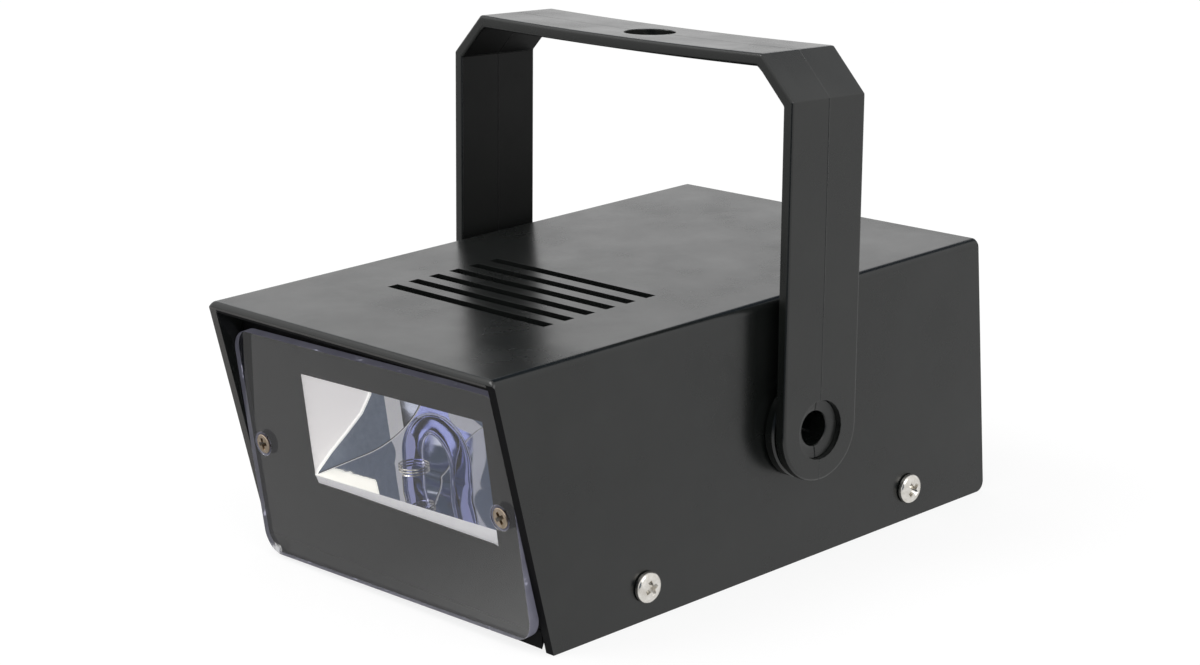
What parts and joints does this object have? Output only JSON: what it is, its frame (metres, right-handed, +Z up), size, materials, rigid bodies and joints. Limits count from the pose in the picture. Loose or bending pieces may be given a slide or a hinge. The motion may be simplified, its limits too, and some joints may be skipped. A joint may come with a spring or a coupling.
{
  "type": "strobe light",
  "caption": "Flat black plastic strobe light with a clear front plate over a mirrored window, a rear rate knob and a tilting U-shaped hanging bracket.",
  "frame": {"origin": "centre of the whole light's box in X and Y, on the surface that it stands on", "axes": "+Z up, +X to the right seen from the front, the light shines towards -Y and the knob is on the +Y side"},
  "size_m": [0.0936, 0.1352, 0.0973],
  "materials": {
    "housing_plastic": "satin black moulded plastic",
    "bracket_plastic": "satin black moulded plastic",
    "knob_plastic": "matt black",
    "panel_plastic": "smooth black",
    "clear_plate": "clear polished plastic",
    "tube_glass": "clear glass",
    "mirror_sheet": "bright reflective sheet",
    "screw_nickel": "bright nickel plated",
    "lens_screw_steel": "yellowish zinc plated",
    "plain_steel": "tinned steel",
    "ceramic_white": "unglazed white ceramic",
    "board_laminate": "green lacquered laminate",
    "capacitor_sleeve": "shrunk sleeve",
    "moulded_black": "moulded resin",
    "red_resin": "dipped resin and wire insulation",
    "terminal_green": "moulded nylon"
  },
  "bodies": {
    "housing": {"base_tray": "housing_plastic", "board_screw_1": "screw_nickel", "board_screw_2": "screw_nickel", "board_screw_3": "screw_nickel", "board_screw_4": "screw_nickel", "cable_gland": "knob_plastic", "capacitor_1": "capacitor_sleeve", "capacitor_2": "capacitor_sleeve", "circuit_board": "board_laminate", "diode_1": "moulded_black", "diode_2": "moulded_black", "diode_3": "moulded_black", "diode_4": "moulded_black", "flash_tube": "tube_glass", "front_panel": "panel_plastic", "fuse": "tube_glass", "fuse_clip_front": "plain_steel", "fuse_clip_rear": "plain_steel", "gland_nut": "knob_plastic", "lens_plate": "clear_plate", "lens_screw_left": "lens_screw_steel", "lens_screw_right": "lens_screw_steel", "pivot_bush_left": "bracket_plastic", "pivot_bush_right": "bracket_plastic", "pivot_clip_left": "screw_nickel", "pivot_clip_right": "screw_nickel", "pot_body": "plain_steel", "pot_lead_1": "red_resin", "pot_lead_2": "red_resin", "pot_lead_3": "red_resin", "pot_nut": "screw_nickel", "power_resistor": "ceramic_white", "rear_panel": "housing_plastic", "reflector": "mirror_sheet", "side_screw_front_left": "screw_nickel", "side_screw_front_right": "screw_nickel", "side_screw_rear_left": "screw_nickel", "side_screw_rear_right": "screw_nickel", "terminal_block": "terminal_green", "thyristor": "moulded_black", "top_cover": "housing_plastic", "trigger_capacitor": "red_resin", "trigger_collar": "screw_nickel", "trigger_transformer": "moulded_black", "tube_socket": "ceramic_white"},
    "bracket": {"bracket": "bracket_plastic"},
    "knob": {"speed_knob": "knob_plastic", "pot_shaft": "plain_steel"}
  },
  "joints": [
    {"name": "bracket_tilt", "type": "hinge", "parent": "housing", "child": "bracket", "pos_m": [0, 0.00576, 0.02694], "axis": [1, 0, 0], "range_deg": [-96, 61]},
    {"name": "knob_turn", "type": "hinge", "parent": "housing", "child": "knob", "pos_m": [-0.0158, 0.05595, 0.02824], "axis": [0, 1, 0], "range_deg": [-150, 150]}
  ]
}
